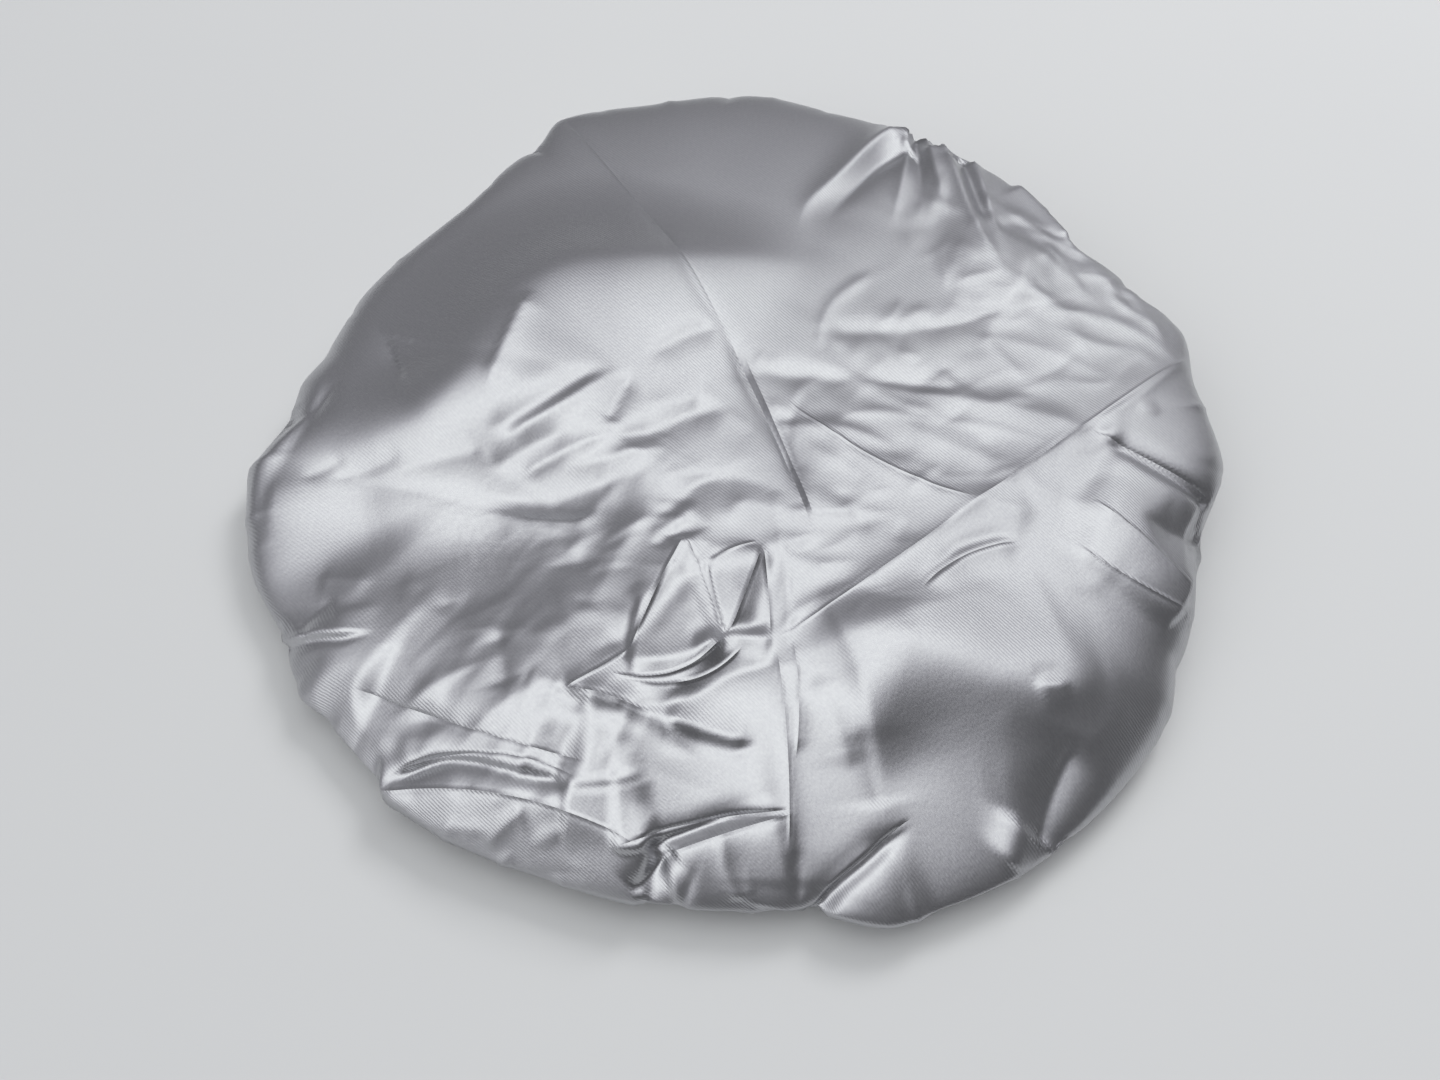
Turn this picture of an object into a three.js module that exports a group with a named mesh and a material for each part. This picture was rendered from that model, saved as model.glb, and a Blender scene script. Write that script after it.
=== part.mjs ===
// Round satin shower cap with a waterproof lining and an elastic hem.
// It lies crown up on a table, with the gathered underside drawn in to the hem.
// Millimetres, +Z up. The origin is on the table, under the middle of the cap's outline.
import * as THREE from 'three';

// The cap as it lies
const rimRadius = 163; // axis to the widest line, before the rim's lobes and notches
const crownHeight = 42; // table to the crown's centre, before its swells
const crownSquareness = 2.5; // of the crown near its centre: 2 is an ellipse
const lobeStart = 0.7; // share of the way to the rim where its lobes begin
const rimHold = 0.68; // share of the way to the rim past which swells and folds die out
const undersideLift = 1; // table to the middle of the satin under the rim

// Cloth layers
const satinThickness = 0.6;
const filmThickness = 0.5;
const layerGap = 0.4; // air between satin and lining
const seatGap = 0.3; // clearance between pieces that lie on each other

// Elastic hem
const mouthRadius = 66; // clear radius inside the hem, elastic at rest
const elasticWidth = 8;
const elasticThickness = 0.9;
const elasticOverlap = 14; // length of the two ends sewn on each other
const elasticRise = 40; // length over which the last end climbs onto the first
const casingWall = 0.6;
const casingFold = 1; // round of the casing's fold at the mouth
const casingStep = 1.2; // slope between the elastic channel and the stitched flange
const flangeWidth = 5; // stitched flange that grips the two cloth edges
const edgeInset = 0.5; // cloth edges stop this far short of the channel
const flangeRun = 2; // the cloth leaves the flange flat for this far

// Threads
const threadDiameter = 0.4;
const threadFloorGap = 0.2; // lower thread stays this far off the table
const stitchCount = 96; // lockstitches round the hem
const stitchArch = 0.25; // a stitch stands up this far between its holes
const tackZigs = 9; // zigzags over the elastic's joined ends
const tackMargin = 1.5; // zigzag stays this far inside the elastic's edges

// Gathers of the underside, one ridge and one valley each
const gatherCount = 24;
const gatherHeight = 5; // ridge over valley, where the gathers are deepest

// Lobes and notches of the rim: angle in degrees from +X towards +Y, and offset from rimRadius
const rimOutline = [
  [-176, 6.5], [-166, 6], [-154, 0.5], [-147, 3.5], [-142, -0.5], [-127, -1], [-106, -5.5], [-92, -6.5],
  [-82, -5], [-73, 6], [-58, 9.5], [-37, 8.5], [-29, 3], [-14, -1.5], [-4, 5], [7, 1], [14, 4.5], [23, -8],
  [33, -16.5], [49, -10.5], [57, -12], [72, -7], [88, -1], [100, -3], [114, 1.5], [120, -9], [135, -19],
  [157, -9], [164, -9], [170, -4.5], [174, -5],
];

// The crown towards each side: angle as above, how late it falls away, how sharply it meets the rim (1 is an
// edge), height of the rim, and how far the rim's round is drawn in underneath
const crownSides = [
  { angle: -174, late: 5, sharp: 0.55, rimHeight: 9, inset: 8 },
  { angle: -152, late: 3.8, sharp: 0.75, rimHeight: 6, inset: 6 },
  { angle: -135, late: 3.6, sharp: 0.9, rimHeight: 4, inset: 5 },
  { angle: -100, late: 3.4, sharp: 0.85, rimHeight: 4, inset: 5 },
  { angle: -70, late: 2.8, sharp: 0.75, rimHeight: 6, inset: 6 },
  { angle: -40, late: 3.6, sharp: 0.52, rimHeight: 11, inset: 10 },
  { angle: 10, late: 6, sharp: 0.45, rimHeight: 26, inset: 20 },
  { angle: 30, late: 6, sharp: 0.45, rimHeight: 33, inset: 24 },
  { angle: 50, late: 6, sharp: 0.48, rimHeight: 32, inset: 24 },
  { angle: 70, late: 2.8, sharp: 0.45, rimHeight: 29, inset: 24 },
  { angle: 95, late: 2, sharp: 0.5, rimHeight: 29, inset: 24 },
  { angle: 125, late: 1.7, sharp: 0.59, rimHeight: 27, inset: 24 },
  { angle: 165, late: 2.2, sharp: 0.65, rimHeight: 15, inset: 14 },
];

// Broad swells and hollows of the crown: a bent line in plan, its height (a hollow is negative), half widths on
// the left and right of its direction, and the shares of its length over which it fades in and out
const broadSwells = [
  {
    name: 'far crest', height: 11, left: 50, right: 80, fadeIn: 0.45, fadeOut: 0.3, sharpTop: true,
    line: [[-158, -12], [-133, -4], [-102, 1], [-81, 21], [-65, 46], [-32, 56], [5, 62], [42, 61]],
  },
  {
    name: 'near left crest', height: 9.5, left: 60, right: 70, fadeIn: 0.1, fadeOut: 0.4, sharpTop: true,
    line: [[-152, -57], [-133, -77], [-102, -95], [-82, -102], [-60, -107], [-34, -106], [-10, -96], [18, -85]],
  },
  {
    name: 'near middle crest', height: 3.2, left: 30, right: 60, fadeIn: 0.05, fadeOut: 0.4, sharpTop: true,
    line: [[17, -153], [17, -131], [16, -102], [16, -71]],
  },
  {
    name: 'left hollow', height: -13, left: 26, right: 50, fadeIn: 0.05, fadeOut: 0.45, sharpTop: false,
    line: [[-168, -18], [-133, -26], [-105, -28], [-75, -30], [-43, -36], [-10, -47]],
  },
  {
    name: 'far right swell', height: 4, left: 18, right: 30, fadeIn: 0.3, fadeOut: 0.3, sharpTop: false,
    line: [[77, 51], [113, 56], [145, 44]],
  },
  {
    name: 'near right hollow', height: -5.5, left: 26, right: 15, fadeIn: 0.3, fadeOut: 0.15, sharpTop: false,
    line: [[33, -79], [45, -81], [62, -87], [79, -94], [97, -104]],
  },
  {
    name: 'near right swell', height: 4, left: 18, right: 45, fadeIn: 0.3, fadeOut: 0.3, sharpTop: false,
    line: [[35, -113], [56, -119], [78, -127], [93, -129]],
  },
];

// Main folds of the crown: a line in plan, its height (a groove is negative) and its half width
const mainFolds = [
  { name: 'right storage crease', from: [164, 34], to: [12, -84], height: 1.2, halfWidth: 10 },
  { name: 'centre groove', from: [17, 0], to: [103, -44], height: -1.2, halfWidth: 11 },
  { name: 'pocket pleat lip', from: [-94, -122], to: [-33, -141], height: 3, halfWidth: 10 },
  { name: 'pocket pleat groove', from: [-97, -118], to: [-53, -125], height: -4, halfWidth: 7 },
  { name: 'near pleat', from: [52, -138], to: [25, -156], height: -3.5, halfWidth: 7 },
  { name: 'right pocket', from: [134, -33], to: [150, -42], height: -3.5, halfWidth: 9 },
  { name: 'right pocket lip', from: [113, -35], to: [146, -55], height: 3, halfWidth: 10 },
  { name: 'far gather, left ridge', from: [66, 133], to: [34, 92], height: 4, halfWidth: 8 },
  { name: 'far gather, right ridge', from: [81, 124], to: [95, 69], height: 4, halfWidth: 8 },
];

// Rings of the cloth grid, from the crown's centre to the hem
const crownShares = [0.18, 0.34, 0.48, 0.6, 0.71, 0.81, 0.89, 0.95, 0.985, 1]; // shares of the way to the rim
const rollTurns = [38, 75]; // degrees round the rim, from its widest line towards the table
const returnShares = [0.35, 0.8]; // shares of the way from the rim's round back to the hem's flange
const columnCount = 2 * gatherCount;

// Heights of the hem, from the table up
const flangeBottom = threadFloorGap + threadDiameter + stitchArch + seatGap;
const satinEdgeHeight = flangeBottom + casingWall + seatGap + satinThickness / 2;
const filmOffset = satinThickness / 2 + layerGap + filmThickness / 2;
const flangeTop = satinEdgeHeight + filmOffset + filmThickness / 2 + seatGap + casingWall;
const elasticBottom = casingWall + seatGap;
const elasticLift = elasticThickness + seatGap;
const tackHeight = elasticBottom + elasticThickness + elasticLift + seatGap + threadDiameter / 2;
const channelTop = tackHeight + threadDiameter / 2 + seatGap;
const casingTop = Math.max(channelTop + casingWall, flangeTop);

// Radii of the hem, from the axis out
const elasticRadius = mouthRadius + casingWall + seatGap + elasticWidth / 2;
const channelRadius = elasticRadius + elasticWidth / 2 + seatGap;
const flangeInner = channelRadius + casingStep;
const flangeOuter = flangeInner + flangeWidth;
const stitchRadius = (flangeInner + flangeOuter) / 2;

const fullTurn = 2 * Math.PI;
const sectionSides = 5; // sides of a thread's section
const casingSegments = 64;
const elasticSteps = 80;
const stitchSteps = 2; // steps along each stitch: one at its hole, one at its arch
const zigSteps = 4;

const smooth = (share) => share * share * (3 - 2 * share);

// Value at an angle round the cap: smooth swells between the neighbouring stops.
function aroundCap(degrees, stops) {
  for (let i = 0; i < stops.length; i += 1) {
    const [startAngle, start] = stops[i];
    const [endAngle, end] = stops[(i + 1) % stops.length];
    const span = (endAngle - startAngle + 360) % 360;
    const along = (degrees - startAngle + 720) % 360;
    if (along < span) return start + (end - start) * smooth(along / span);
  }
  return stops[0][1];
}

// One of the crown's side values at an angle.
const sideValue = (degrees, key) => aroundCap(degrees, crownSides.map((side) => [side.angle, side[key]]));

// Level of the crown at a share of the way to the rim: the drop times (1 - share^late)^sharp, over the rim.
function crownLevel(share, degrees) {
  const blend = smooth(THREE.MathUtils.clamp((share - 0.1) / 0.4, 0, 1));
  const late = THREE.MathUtils.lerp(crownSquareness, sideValue(degrees, 'late'), blend);
  const sharp = THREE.MathUtils.lerp(1 / crownSquareness, sideValue(degrees, 'sharp'), blend);
  const rimHeight = sideValue(degrees, 'rimHeight');
  const drop = crownHeight - satinThickness / 2 - rimHeight;
  return rimHeight + drop * Math.max(0, 1 - share ** late) ** sharp;
}

// Height that the broad swells add at a point in plan, each measured from its nearest line piece.
function swellHeight(x, y) {
  const point = new THREE.Vector2(x, y);
  return broadSwells.reduce((sum, swell) => {
    const corners = swell.line.map((corner) => new THREE.Vector2(...corner));
    const pieces = corners.slice(1).map((end, i) => ({ start: corners[i], run: end.clone().sub(corners[i]) }));
    const whole = pieces.reduce((length, { run }) => length + run.length(), 0);
    const best = { distance: Infinity };
    let passed = 0;
    for (const { start, run } of pieces) {
      const offset = point.clone().sub(start);
      const along = offset.dot(run) / run.lengthSq();
      const distance = offset.clone().addScaledVector(run, -THREE.MathUtils.clamp(along, 0, 1)).length();
      if (distance < best.distance) {
        best.distance = distance;
        best.share = (passed + along * run.length()) / whole;
        best.width = run.cross(offset) > 0 ? swell.left : swell.right;
      }
      passed += run.length();
    }
    const fadeIn = smooth(THREE.MathUtils.clamp(best.share / swell.fadeIn, 0, 1));
    const fadeOut = smooth(THREE.MathUtils.clamp((1 - best.share) / swell.fadeOut, 0, 1));
    const reach = best.distance / best.width;
    const profile = swell.sharpTop ? Math.max(0, 1 - reach) ** 2 : Math.exp(-reach * reach);
    return sum + swell.height * fadeIn * fadeOut * profile;
  }, 0);
}

// Height that the main folds add at a point in plan: each fold is a round-topped ridge.
function foldHeight(x, y) {
  let height = 0;
  for (const fold of mainFolds) {
    const line = new THREE.Line3(new THREE.Vector3(...fold.from, 0), new THREE.Vector3(...fold.to, 0));
    const point = new THREE.Vector3(x, y, 0);
    const nearest = line.closestPointToPoint(point, true, new THREE.Vector3());
    const reach = nearest.distanceTo(point) / fold.halfWidth;
    height += fold.height * Math.exp(-reach * reach);
  }
  return height;
}

// One radial line of the satin's middle surface: crown, rim, gathered return and hem edge.
function satinColumn(column) {
  const degrees = (360 * column) / columnCount;
  const lobe = aroundCap(degrees, rimOutline);
  const rim = rimRadius + lobe;
  const rimHeight = sideValue(degrees, 'rimHeight');
  const inset = sideValue(degrees, 'inset');
  const ridge = gatherHeight * (column % 2);
  const profile = [];
  for (const share of crownShares) {
    const lobeShare = smooth(THREE.MathUtils.clamp((share - lobeStart) / (1 - lobeStart), 0, 1));
    profile.push([share * (rimRadius + lobe * lobeShare), crownLevel(share, degrees)]);
  }
  for (const turn of rollTurns) {
    const angle = THREE.MathUtils.degToRad(turn);
    const height = rimHeight - (rimHeight - undersideLift) * Math.sin(angle);
    profile.push([rim - inset * (1 - Math.cos(angle)), height]);
  }
  const flangeExit = flangeOuter + flangeRun;
  for (const share of returnShares) {
    const gather = ridge * Math.sin((Math.PI / 2) * share);
    profile.push([rim - inset + (flangeExit - rim + inset) * share, undersideLift + gather]);
  }
  profile.push([flangeExit, satinEdgeHeight]);
  profile.push([flangeInner + edgeInset, satinEdgeHeight]);
  const turn = THREE.MathUtils.degToRad(degrees);
  return profile.map(([radius, height]) => {
    return new THREE.Vector3(radius * Math.cos(turn), radius * Math.sin(turn), height);
  });
}

// Middle surface of the satin as rings of points, with swells and folds raised on the crown and less at the rim.
function satinRings() {
  const columns = Array.from({ length: columnCount }, (_, column) => satinColumn(column));
  return columns[0].map((_, ring) => columns.map((column) => {
    const point = column[ring].clone();
    if (ring < crownShares.length) {
      const hold = 1 - smooth(THREE.MathUtils.clamp((crownShares[ring] - rimHold) / (1 - rimHold), 0, 1));
      point.z += hold * (swellHeight(point.x, point.y) + foldHeight(point.x, point.y));
    }
    return point;
  }));
}

const cloth = satinRings();
const poleHeight = crownHeight - satinThickness / 2 + swellHeight(0, 0) + foldHeight(0, 0);
const crownPole = new THREE.Vector3(0, 0, poleHeight);

// Outward direction of the cloth at a grid point, from its four neighbours.
function clothNormal(ring, column) {
  const next = cloth[ring][(column + 1) % columnCount];
  const previous = cloth[ring][(column + columnCount - 1) % columnCount];
  const inward = ring === 0 ? crownPole : cloth[ring - 1][column];
  const onward = cloth[Math.min(ring + 1, cloth.length - 1)][column];
  const around = next.clone().sub(previous);
  return onward.clone().sub(inward).cross(around).normalize();
}

// The cloth grid moved along its normals, as a list of points with the crown's centre first.
function clothLayer(offset) {
  const points = [crownPole.clone().setZ(crownPole.z + offset)];
  cloth.forEach((ring, ringIndex) => ring.forEach((point, column) => {
    points.push(point.clone().addScaledVector(clothNormal(ringIndex, column), offset));
  }));
  return points;
}

// A closed cloth between two offsets of the satin's middle surface, joined along the hem edge.
function clothGeometry(outerOffset, innerOffset) {
  const outer = clothLayer(outerOffset);
  const points = [...outer, ...clothLayer(innerOffset)];
  const ringCount = cloth.length;
  const at = (layer, ring, column) => layer * outer.length + 1 + ring * columnCount + (column % columnCount);
  const faces = [];
  for (let column = 0; column < columnCount; column += 1) {
    faces.push(0, at(0, 0, column), at(0, 0, column + 1));
    faces.push(outer.length, at(1, 0, column + 1), at(1, 0, column));
    for (let ring = 0; ring < ringCount - 1; ring += 1) {
      for (const layer of [0, 1]) {
        const here = at(layer, ring, column);
        const beside = at(layer, ring, column + 1);
        const below = at(layer, ring + 1, column);
        const across = at(layer, ring + 1, column + 1);
        if (layer === 0) faces.push(here, below, across, here, across, beside);
        else faces.push(here, across, below, here, beside, across);
      }
    }
    const edge = [at(0, ringCount - 1, column), at(0, ringCount - 1, column + 1)];
    const lip = [at(1, ringCount - 1, column), at(1, ringCount - 1, column + 1)];
    faces.push(edge[0], lip[0], lip[1], edge[0], lip[1], edge[1]);
  }
  const geometry = new THREE.BufferGeometry();
  geometry.setAttribute('position', new THREE.Float32BufferAttribute(points.flatMap((p) => p.toArray()), 3));
  geometry.setIndex(faces);
  geometry.computeVertexNormals();
  return geometry;
}

// Folded casing: a channel for the elastic at the mouth, and a stitched flange that grips the cloth edges.
function casingGeometry() {
  const fold = Math.min(casingFold, casingTop / 2);
  const profile = new THREE.Path();
  profile.moveTo(flangeOuter, flangeBottom);
  profile.lineTo(flangeInner, flangeBottom);
  profile.lineTo(channelRadius, 0);
  profile.lineTo(mouthRadius + fold, 0);
  profile.quadraticCurveTo(mouthRadius, 0, mouthRadius, fold);
  profile.lineTo(mouthRadius, casingTop - fold);
  profile.quadraticCurveTo(mouthRadius, casingTop, mouthRadius + fold, casingTop);
  profile.lineTo(channelRadius, casingTop);
  profile.lineTo(flangeInner, flangeTop);
  profile.lineTo(flangeOuter, flangeTop);
  profile.lineTo(flangeOuter, flangeTop - casingWall);
  profile.lineTo(flangeInner, flangeTop - casingWall);
  profile.lineTo(channelRadius, casingTop - casingWall);
  profile.lineTo(mouthRadius + casingWall, casingTop - casingWall);
  profile.lineTo(mouthRadius + casingWall, casingWall);
  profile.lineTo(channelRadius, casingWall);
  profile.lineTo(flangeInner, flangeBottom + casingWall);
  profile.lineTo(flangeOuter, flangeBottom + casingWall);
  profile.closePath();
  const foldSteps = 3;
  const outline = profile.getPoints(foldSteps).reverse();
  return new THREE.LatheGeometry(outline, casingSegments).rotateX(Math.PI / 2);
}

// Elastic at rest: one flat strip round the mouth, its last end lying on its first.
class ElasticLoop extends THREE.Curve {
  getPoint(share, target = new THREE.Vector3()) {
    const length = share * (fullTurn * elasticRadius + elasticOverlap);
    const turn = length / elasticRadius;
    const climb = (length - fullTurn * elasticRadius + elasticRise) / elasticRise;
    const lift = elasticLift * smooth(THREE.MathUtils.clamp(climb, 0, 1));
    const height = elasticBottom + elasticThickness / 2 + lift;
    return target.set(elasticRadius * Math.cos(turn), elasticRadius * Math.sin(turn), height);
  }
}

function elasticGeometry() {
  const section = new THREE.Shape();
  section.moveTo(-elasticThickness / 2, -elasticWidth / 2);
  section.lineTo(elasticThickness / 2, -elasticWidth / 2);
  section.lineTo(elasticThickness / 2, elasticWidth / 2);
  section.lineTo(-elasticThickness / 2, elasticWidth / 2);
  section.closePath();
  return new THREE.ExtrudeGeometry(section, { extrudePath: new ElasticLoop(), steps: elasticSteps });
}

// A round thread along a curve.
function threadGeometry(curve, steps) {
  const section = new THREE.Shape();
  for (let side = 0; side < sectionSides; side += 1) {
    const angle = (fullTurn * side) / sectionSides;
    const x = (threadDiameter / 2) * Math.cos(angle);
    const y = (threadDiameter / 2) * Math.sin(angle);
    if (side === 0) section.moveTo(x, y);
    else section.lineTo(x, y);
  }
  section.closePath();
  return new THREE.ExtrudeGeometry(section, { extrudePath: curve, steps });
}

// One thread of the hem's lockstitch: it arches off the cloth between its needle holes.
class StitchLine extends THREE.Curve {
  constructor(height, archDirection) {
    super();
    this.height = height;
    this.archDirection = archDirection;
    this.arcLengthDivisions = 8 * stitchCount;
  }

  getPoint(share, target = new THREE.Vector3()) {
    const trimmedEnds = 2 * threadDiameter;
    const turn = share * (fullTurn - trimmedEnds / stitchRadius);
    const arch = stitchArch * Math.sin(Math.PI * stitchCount * share) ** 2;
    const height = this.height + this.archDirection * arch;
    return target.set(stitchRadius * Math.cos(turn), stitchRadius * Math.sin(turn), height);
  }
}

// Zigzag over the elastic's joined ends, from edge to edge of the upper one.
function tackCurve() {
  const points = [];
  const swing = elasticWidth / 2 - tackMargin;
  const sewnLength = elasticOverlap - 2 * tackMargin;
  for (let zig = 0; zig <= tackZigs; zig += 1) {
    const turn = (tackMargin + (sewnLength * zig) / tackZigs) / elasticRadius;
    const radius = elasticRadius + (zig % 2 === 0 ? swing : -swing);
    points.push(new THREE.Vector3(radius * Math.cos(turn), radius * Math.sin(turn), tackHeight));
  }
  return new THREE.CatmullRomCurve3(points);
}

function piece(name, geometry, color, roughness, metalness) {
  const material = new THREE.MeshStandardMaterial({ color, roughness, metalness });
  const mesh = new THREE.Mesh(geometry, material);
  mesh.name = name;
  return mesh;
}

const satinSides = [satinThickness / 2, -satinThickness / 2];
const filmSides = [filmThickness / 2 - filmOffset, -filmThickness / 2 - filmOffset];
const needleHeight = flangeTop + seatGap + threadDiameter / 2;
const bobbinHeight = flangeBottom - seatGap - threadDiameter / 2;
const needleThread = threadGeometry(new StitchLine(needleHeight, 1), stitchSteps * stitchCount);
const bobbinThread = threadGeometry(new StitchLine(bobbinHeight, -1), stitchSteps * stitchCount);

const cap = new THREE.Group();
cap.add(piece('outer_shell', clothGeometry(...satinSides), 0xb5b7bb, 0.36, 0.35));
cap.add(piece('waterproof_lining', clothGeometry(...filmSides), 0xdfe2e4, 0.45, 0));
cap.add(piece('hem_casing', casingGeometry(), 0xa7a9ad, 0.4, 0.3));
cap.add(piece('elastic_band', elasticGeometry(), 0xf0efeb, 0.8, 0));
cap.add(piece('elastic_join_tack', threadGeometry(tackCurve(), zigSteps * tackZigs), 0xf7f6f2, 0.7, 0));
cap.add(piece('casing_needle_thread', needleThread, 0xc2c4c8, 0.6, 0));
cap.add(piece('casing_bobbin_thread', bobbinThread, 0xc2c4c8, 0.6, 0));

// Middle of the outline over the origin
const middle = new THREE.Box3().setFromObject(cap).getCenter(new THREE.Vector3());
cap.position.set(-middle.x, -middle.y, 0);

export default cap;
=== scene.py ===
import math

import bpy
import numpy as np
from mathutils import Matrix, Vector


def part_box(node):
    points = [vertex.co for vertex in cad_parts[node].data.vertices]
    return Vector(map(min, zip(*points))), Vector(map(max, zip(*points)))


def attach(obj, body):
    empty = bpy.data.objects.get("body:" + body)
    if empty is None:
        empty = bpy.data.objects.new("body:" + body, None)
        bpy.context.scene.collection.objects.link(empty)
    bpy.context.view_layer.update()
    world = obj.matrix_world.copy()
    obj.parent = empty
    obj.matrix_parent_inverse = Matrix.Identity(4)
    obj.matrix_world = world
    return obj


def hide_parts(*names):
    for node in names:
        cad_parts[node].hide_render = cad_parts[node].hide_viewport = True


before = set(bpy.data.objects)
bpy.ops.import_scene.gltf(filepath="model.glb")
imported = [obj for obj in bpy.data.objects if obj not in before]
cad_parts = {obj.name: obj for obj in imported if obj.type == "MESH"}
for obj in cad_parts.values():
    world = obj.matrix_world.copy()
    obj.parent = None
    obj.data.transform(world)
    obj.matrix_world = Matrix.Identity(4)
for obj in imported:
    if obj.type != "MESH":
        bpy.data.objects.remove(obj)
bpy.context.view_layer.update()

mm = 0.001
scene = bpy.context.scene
scene.view_settings.view_transform = "Standard"

# middle of the hem, on the table
hemLow, hemHigh = (np.array(corner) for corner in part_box("hem_casing"))
capAxis = np.array([*(hemLow + hemHigh)[:2] / 2, 0.0])

# the photograph's view; lengths in metres, target from the middle of the hem
photoView = {
    "imageSize": (1440, 1080),
    "lens": 35.0,              # millimetres, on the sensor below
    "sensor": 36.0,
    "elevation": 60.0,         # degrees above the table
    "distance": 0.4716,
    "target": (-0.0040, -0.0367, 0.0178),
}


def photoAxes():
    # unit vectors to the right, up and forward of the photograph, and the lens's place
    tilt = math.radians(photoView["elevation"])
    forward = np.array([0.0, math.cos(tilt), -math.sin(tilt)])
    right = np.array([1.0, 0.0, 0.0])
    up = np.cross(right, forward)
    place = capAxis + photoView["target"] - forward * photoView["distance"]
    return right, up, forward, place


def addCamera():
    right, up, forward, place = photoAxes()
    data = bpy.data.cameras.new("photoCamera")
    data.lens = photoView["lens"]
    data.sensor_width = photoView["sensor"]
    data.clip_start = 0.01
    camera = bpy.data.objects.new("photoCamera", data)
    turn = Matrix((right, up, -forward)).transposed().to_4x4()
    camera.matrix_world = Matrix.Translation(Vector(place)) @ turn
    scene.collection.objects.link(camera)
    scene.camera = camera


def toPixels(points):
    # pinhole view: sideways and upward shares of the depth, times the focal length in pixels
    right, up, forward, place = photoAxes()
    width, height = photoView["imageSize"]
    focal = width * photoView["lens"] / photoView["sensor"]
    ray = points - place
    depth = ray @ forward
    return np.stack([width / 2 + focal * (ray @ right) / depth, height / 2 - focal * (ray @ up) / depth], -1)


addCamera()
print("camera set")


# the cap's base form

capShape = {
    "rimRadius": 163 * mm,
    "crownHeight": 42 * mm,
    "underHeight": 1.0 * mm,
    "crownPower": 2.5,         # squareness of the middling section: 2 is an ellipse
    "rimHeight": 24 * mm,      # of the middling section, as the next
    "underInset": 24 * mm,
    "hemRadius": 78 * mm,
    "hemHeight": 2.35 * mm,
    "lobeStart": 0.45,         # share of the way to the rim where the lobes begin
    "sideBlend": (0.1, 0.5),   # shares between which the crown takes the shape of its side
    "hemClimb": (0.75, 1),     # shares of the flat underside between which it rises to the hem
    # lobes and notches of the rim: degrees from +X towards +Y, and millimetres from the rim radius
    "rimOutline": (
        (-176, 6.5), (-166, 6), (-154, 0.5), (-147, 3.5), (-142, -0.5), (-127, -1), (-106, -3.5), (-92, -3),
        (-82, -2.5), (-73, 8), (-58, 9.5), (-37, 8.5), (-29, 3), (-14, -1.5), (-4, 5), (7, 1), (14, 4.5),
        (23, -8), (33, -16.5), (49, -10.5), (57, -12), (72, -7), (88, -1), (100, -3), (114, 1.5), (120, -9),
        (135, -19), (157, -9), (164, -9), (170, -4.5), (174, -5),
    ),
    # the crown towards each side: degrees, how late it falls away, how sharply it meets the rim (1 is an
    # edge), height of the rim and how far the underside's round is drawn in from it, in millimetres
    "sides": (
        (-174, 4.2, 0.48, 10, 9), (-152, 3.0, 0.75, 11, 14), (-135, 2.6, 0.88, 12, 16),
        (-100, 2.5, 0.84, 12, 16), (-70, 2.3, 0.75, 12, 15), (-40, 3.6, 0.52, 11, 10),
        (10, 6.0, 0.45, 26, 20), (30, 6.0, 0.45, 33, 24), (50, 6.0, 0.48, 32, 24), (70, 2.8, 0.45, 29, 24),
        (95, 2.0, 0.50, 29, 24), (125, 1.7, 0.59, 27, 24), (165, 2.2, 0.65, 15, 14),
    ),
}


def smoothStep(low, high, value):
    # 0 below low, 1 above high, and a smooth S between
    share = np.clip((value - low) / (high - low), 0, 1)
    return share * share * (3 - 2 * share)


def onCircle(radius, angle, *height):
    # points at a distance and an angle from the middle, and at a height where one is given
    return np.stack(np.broadcast_arrays(radius * np.cos(angle), radius * np.sin(angle), *height), -1)


def lengthAlong(points):
    # length of a line from its start to each of its points
    return np.concatenate([[0], np.cumsum(np.linalg.norm(np.diff(points, axis=0), axis=1))])


def roundTable(angle, table):
    # value at an angle: a smooth S from each (degrees, value) of the table to the next, right round
    stops, values = np.array(table, float).T
    stops, values = np.append(stops, stops[0] + 360), np.append(values, values[0])
    degrees = (np.degrees(angle) - stops[0]) % 360 + stops[0]
    spot = np.clip(np.searchsorted(stops, degrees, side="right") - 1, 0, len(stops) - 2)
    share = smoothStep(stops[spot], stops[spot + 1], degrees)
    return values[spot] + (values[spot + 1] - values[spot]) * share


def capSection(along, rim, late, sharp, rimHeight, underInset):
    # 0 crown centre to 1 rim: rim height plus the drop times (1 - out^late)^sharp; 1 to 2: a quarter round
    # under; 2 to 3: flat in to the hem
    shape = capShape
    out = np.clip(np.sin(np.clip(along, 0, 1) * np.pi / 2), 0, 1) ** (2 / shape["crownPower"])
    blend = smoothStep(*shape["sideBlend"], out)
    late = shape["crownPower"] + (late - shape["crownPower"]) * blend
    sharp = 1 / shape["crownPower"] + (sharp - 1 / shape["crownPower"]) * blend
    crownHeight = rimHeight + (shape["crownHeight"] - rimHeight) * np.clip(1 - out ** late, 0, 1) ** sharp
    under = np.clip(along - 1, 0, 1) * np.pi / 2
    roundRadius = rim - underInset * (1 - np.cos(under))
    roundHeight = rimHeight - (rimHeight - shape["underHeight"]) * np.sin(under)
    back = np.clip(along - 2, 0, 1)
    returnRadius = rim - underInset + (shape["hemRadius"] - rim + underInset) * back
    hemRise = shape["hemHeight"] - shape["underHeight"]
    returnHeight = shape["underHeight"] + hemRise * smoothStep(*shape["hemClimb"], back)
    radius = np.where(along < 1, rim * out, np.where(along < 2, roundRadius, returnRadius))
    height = np.where(along < 1, crownHeight, np.where(along < 2, roundHeight, returnHeight))
    return radius, height


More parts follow.
